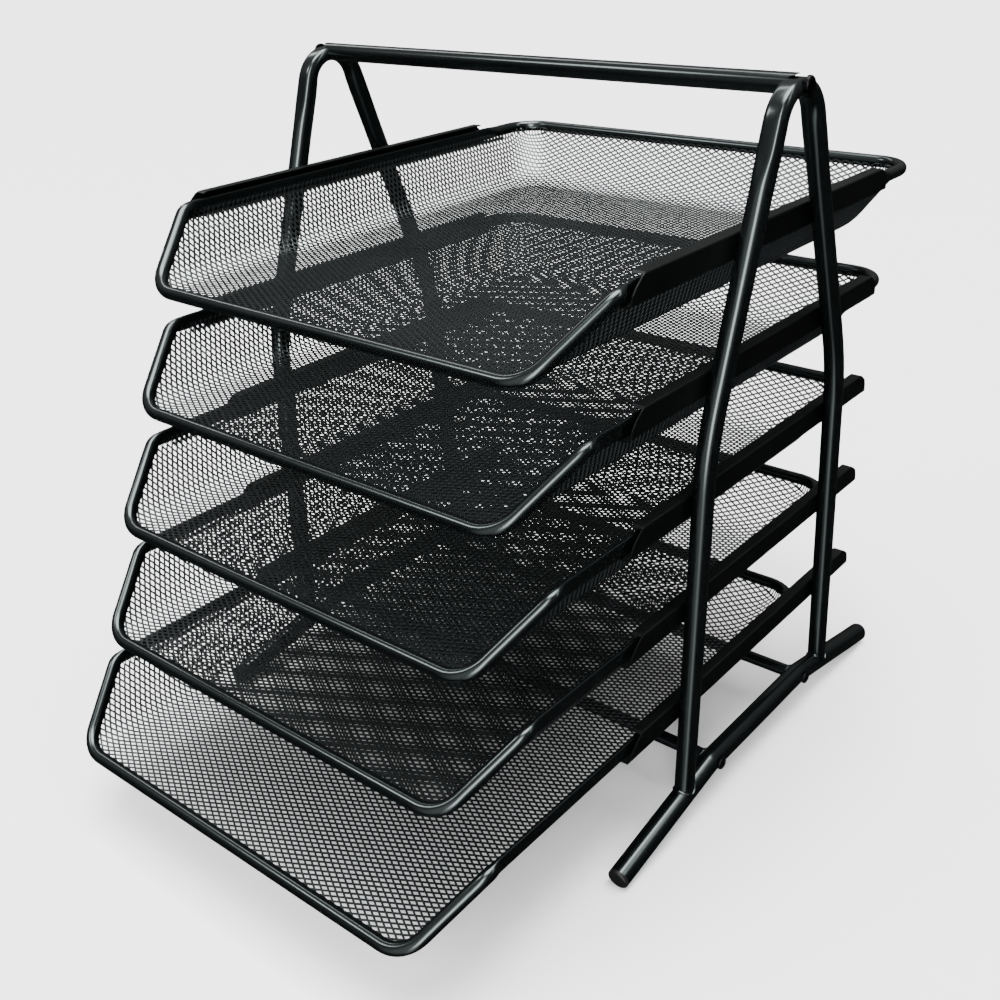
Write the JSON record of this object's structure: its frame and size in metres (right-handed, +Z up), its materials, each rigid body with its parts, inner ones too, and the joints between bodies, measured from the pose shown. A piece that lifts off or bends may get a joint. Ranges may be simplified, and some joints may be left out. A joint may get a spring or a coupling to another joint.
{
  "type": "desktop file sorter",
  "caption": "Desktop file sorter: mesh trays with tube rims slide in runners between two bent-tube side frames joined by a carrying handle and cross bars.",
  "frame": {"origin": "on the desk, under the middle of the outside box with the trays drawn out as at rest", "axes": "X is the width and the handle's direction, -Y is the front towards which the trays slide out, +Z is up"},
  "size_m": [0.3366, 0.4586, 0.3968],
  "materials": {
    "powder_coated_tube": "semi-gloss black powder coat",
    "powder_coated_mesh": "satin black powder coat on expanded metal mesh",
    "powder_coated_sheet": "satin black powder coat",
    "black_plastic": "moulded black plastic",
    "blackened_steel": "black screw heads",
    "bare_steel": "plain turned steel"
  },
  "bodies": {
    "frame": {"runner_1_left": "powder_coated_sheet", "runner_1_right": "powder_coated_sheet", "runner_2_left": "powder_coated_sheet", "runner_2_right": "powder_coated_sheet", "runner_3_left": "powder_coated_sheet", "runner_3_right": "powder_coated_sheet", "runner_4_left": "powder_coated_sheet", "runner_4_right": "powder_coated_sheet", "runner_5_left": "powder_coated_sheet", "runner_5_right": "powder_coated_sheet", "side_frame_left": "powder_coated_tube", "foot_tube_left": "powder_coated_tube", "end_plug_front_left": "black_plastic", "end_plug_rear_left": "black_plastic", "side_frame_right": "powder_coated_tube", "foot_tube_right": "powder_coated_tube", "end_plug_front_right": "black_plastic", "end_plug_rear_right": "black_plastic", "cross_bar_front": "powder_coated_tube", "cross_bar_rear": "powder_coated_tube", "handle": "powder_coated_tube", "cross_bar_inserts": "bare_steel", "cross_bar_screws": "blackened_steel", "handle_inserts": "bare_steel", "handle_screws": "blackened_steel"},
    "tray_1": {"tray_1_rim": "powder_coated_tube", "tray_1_mesh": "powder_coated_mesh"},
    "tray_2": {"tray_2_rim": "powder_coated_tube", "tray_2_mesh": "powder_coated_mesh"},
    "tray_3": {"tray_3_rim": "powder_coated_tube", "tray_3_mesh": "powder_coated_mesh"},
    "tray_4": {"tray_4_rim": "powder_coated_tube", "tray_4_mesh": "powder_coated_mesh"},
    "tray_5": {"tray_5_rim": "powder_coated_tube", "tray_5_mesh": "powder_coated_mesh"}
  },
  "joints": [
    {"name": "tray_1_slide", "type": "slide", "parent": "frame", "child": "tray_1", "axis": [0, -1, 0], "range_m": [0, 0.2]},
    {"name": "tray_2_slide", "type": "slide", "parent": "frame", "child": "tray_2", "axis": [0, -1, 0], "range_m": [-0.023, 0.177]},
    {"name": "tray_3_slide", "type": "slide", "parent": "frame", "child": "tray_3", "axis": [0, -1, 0], "range_m": [-0.05, 0.15]},
    {"name": "tray_4_slide", "type": "slide", "parent": "frame", "child": "tray_4", "axis": [0, -1, 0], "range_m": [-0.0735, 0.1265]},
    {"name": "tray_5_slide", "type": "slide", "parent": "frame", "child": "tray_5", "axis": [0, -1, 0], "range_m": [-0.106, 0.094]}
  ]
}
